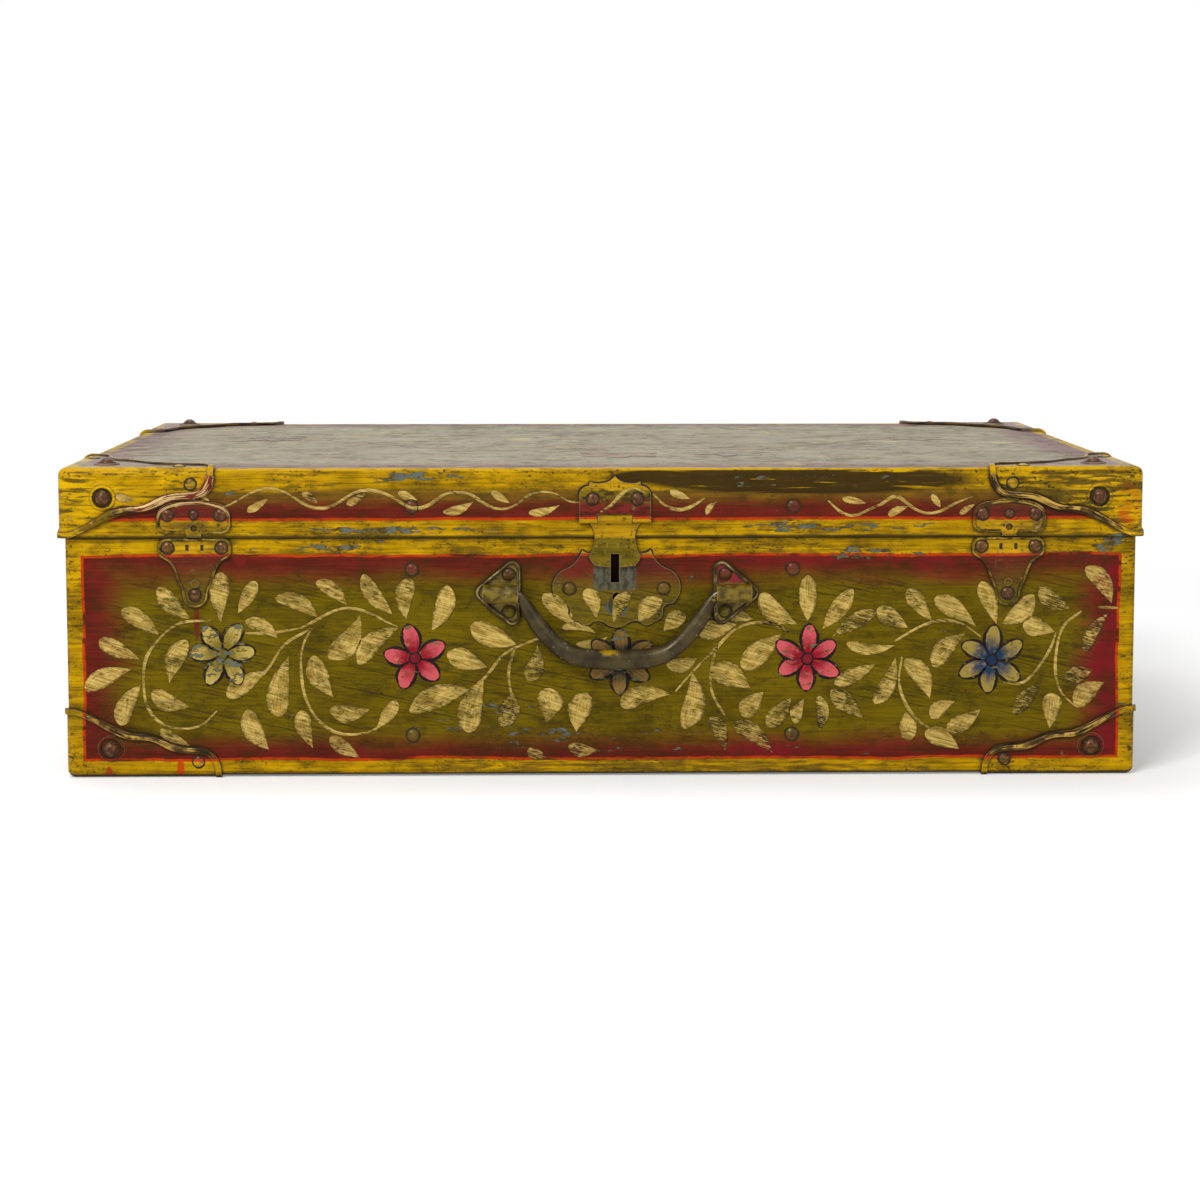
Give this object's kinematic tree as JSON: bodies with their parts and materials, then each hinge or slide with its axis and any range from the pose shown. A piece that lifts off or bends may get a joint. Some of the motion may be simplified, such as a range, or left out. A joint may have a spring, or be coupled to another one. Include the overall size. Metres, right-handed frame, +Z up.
{
  "type": "painted steel chest",
  "caption": "Shallow painted sheet-steel chest with a hinged lid, pressed corner caps, hasp and lock, clasp plates and a swinging front handle.",
  "frame": {"origin": "middle of the surface that the chest stands on, below the middle of the chest", "axes": "+Z up; +X to the right along the front; the front, with lock and handle, faces -Y"},
  "size_m": [0.673, 0.4267, 0.1963],
  "materials": {
    "painted_body": "brush-painted olive centre, red shading and yellow borders, with chips and scratches",
    "painted_lid": "brush-painted yellow and red bands on the sides, worn grey top",
    "painted_caps": "painted over with the borders, worn along the raised rib",
    "painted_fittings": "painted over with the borders, worn at the edges",
    "inner_steel": "dull grey-blue, unpainted inside",
    "rivet_metal": "dark bronzed steel with paint remains",
    "handle_metal": "dark bronze-grey, rubbed brighter on the grip",
    "bare_steel": "bare steel, dulled"
  },
  "bodies": {
    "case": {"body_cap_front_left": "painted_caps", "body_cap_front_right": "painted_caps", "body_cap_pins": "rivet_metal", "body_cap_rear_left": "painted_caps", "body_cap_rear_right": "painted_caps", "body_cap_studs": "rivet_metal", "body_strap_left": "inner_steel", "body_strap_right": "inner_steel", "body_strap_rivets": "rivet_metal", "body_wall": "painted_body", "bolt_spring": "bare_steel", "catch_plate_left": "painted_fittings", "catch_plate_right": "painted_fittings", "catch_rivets": "rivet_metal", "floor_sheet": "inner_steel", "handle_bracket_left": "painted_fittings", "handle_bracket_right": "painted_fittings", "handle_rivets": "rivet_metal", "key_post": "bare_steel", "lock_case": "bare_steel", "lock_plate": "painted_fittings", "lock_rivets": "rivet_metal", "rear_hinge_body_leaf_left": "painted_fittings", "rear_hinge_body_leaf_right": "painted_fittings", "rear_hinge_body_rivets": "rivet_metal", "rear_hinge_pins": "bare_steel"},
    "lid": {"clasp_plate_left": "painted_fittings", "clasp_plate_right": "painted_fittings", "clasp_rivets": "rivet_metal", "hasp_leaf": "painted_fittings", "hasp_pin": "bare_steel", "hasp_rivets": "rivet_metal", "lid_cap_front_left": "painted_caps", "lid_cap_front_right": "painted_caps", "lid_cap_pins": "rivet_metal", "lid_cap_rear_left": "painted_caps", "lid_cap_rear_right": "painted_caps", "lid_cap_studs": "rivet_metal", "lid_sheet": "painted_lid", "lid_strap_left": "inner_steel", "lid_strap_right": "inner_steel", "lid_strap_rivets": "rivet_metal", "rear_hinge_lid_leaf_left": "painted_fittings", "rear_hinge_lid_leaf_right": "painted_fittings", "rear_hinge_lid_rivets": "rivet_metal"},
    "hasp": {"hasp_tongue": "painted_fittings"},
    "handle": {"handle_bail": "handle_metal"},
    "lock_bolt": {"lock_bolt": "bare_steel"}
  },
  "joints": [
    {"name": "lid_hinge", "type": "hinge", "parent": "case", "child": "lid", "pos_m": [0, 0.207, 0.149], "axis": [-1, 0, 0], "range_deg": [0, 100]},
    {"name": "hasp_hinge", "type": "hinge", "parent": "lid", "child": "hasp", "pos_m": [0.0075, -0.2057, 0.1602], "axis": [-1, 0, 0], "range_deg": [0, 165]},
    {"name": "handle_pivot", "type": "hinge", "parent": "case", "child": "handle", "pos_m": [0.0089, -0.208, 0.1145], "axis": [-1, 0, 0], "range_deg": [0, 160]},
    {"name": "lock_bolt_slide", "type": "slide", "parent": "case", "child": "lock_bolt", "axis": [1, 0, 0], "range_m": [0, 0.0075]}
  ]
}
